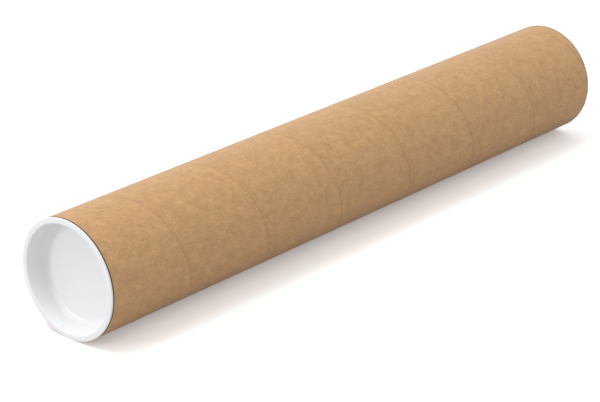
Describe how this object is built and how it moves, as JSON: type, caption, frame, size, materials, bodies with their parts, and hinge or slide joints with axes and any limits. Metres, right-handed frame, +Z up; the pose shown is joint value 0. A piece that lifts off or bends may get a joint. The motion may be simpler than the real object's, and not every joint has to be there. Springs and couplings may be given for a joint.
{
  "type": "cardboard mailing tube",
  "caption": "Long round kraft board tube, wound from paper strip, closed by a flanged push-in plastic plug at each end.",
  "frame": {"origin": "on the surface that the tube lies on, below the middle of its length", "axes": "X runs along the tube towards the far cap, +Z is up, Y is across the tube"},
  "size_m": [0.453, 0.073, 0.073],
  "materials": {
    "kraft_board": "plain brown kraft paper, matte",
    "white_plastic": "smooth white moulded polyethylene, soft gloss"
  },
  "bodies": {
    "tube": {"tube": "kraft_board"},
    "near_cap": {"near_cap": "white_plastic"},
    "far_cap": {"far_cap": "white_plastic"}
  },
  "joints": [
    {"name": "near_cap_pull", "type": "slide", "parent": "tube", "child": "near_cap", "axis": [-1, 0, 0], "range_m": [0, 0.085]},
    {"name": "far_cap_pull", "type": "slide", "parent": "tube", "child": "far_cap", "axis": [1, 0, 0], "range_m": [0, 0.085]}
  ]
}
